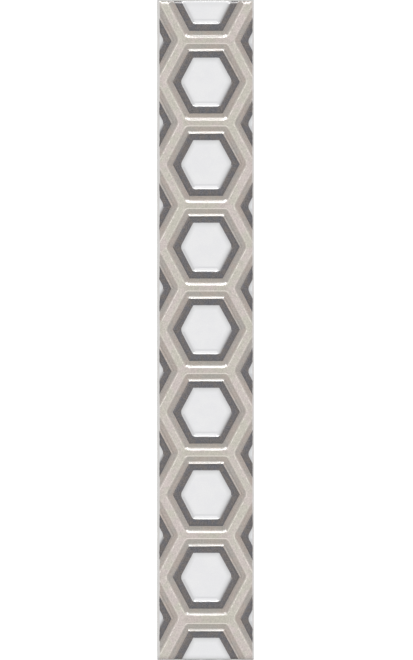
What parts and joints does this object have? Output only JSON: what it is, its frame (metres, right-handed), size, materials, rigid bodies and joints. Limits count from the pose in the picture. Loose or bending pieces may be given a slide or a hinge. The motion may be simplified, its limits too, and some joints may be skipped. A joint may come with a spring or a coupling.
{
  "type": "border tile",
  "caption": "Long glazed ceramic border tile with a low-relief honeycomb: raised ribs, dark rings and sunk white fields.",
  "frame": {"origin": "centre of the flat back, on the plane that the tile lies on", "axes": "+Z out of the glazed face, +Y along the length towards the end with the regular half cell, +X across the width"},
  "size_m": [0.0734, 0.5, 0.0095],
  "materials": {
    "glazed_clay": "Glazed face: gloss white fields, dark grey rings, taupe walls and beige ribs with a fine mineral sheen. Unglazed pale fired clay on the sides and back."
  },
  "bodies": {
    "root": {"border_tile": "glazed_clay"}
  },
  "joints": []
}
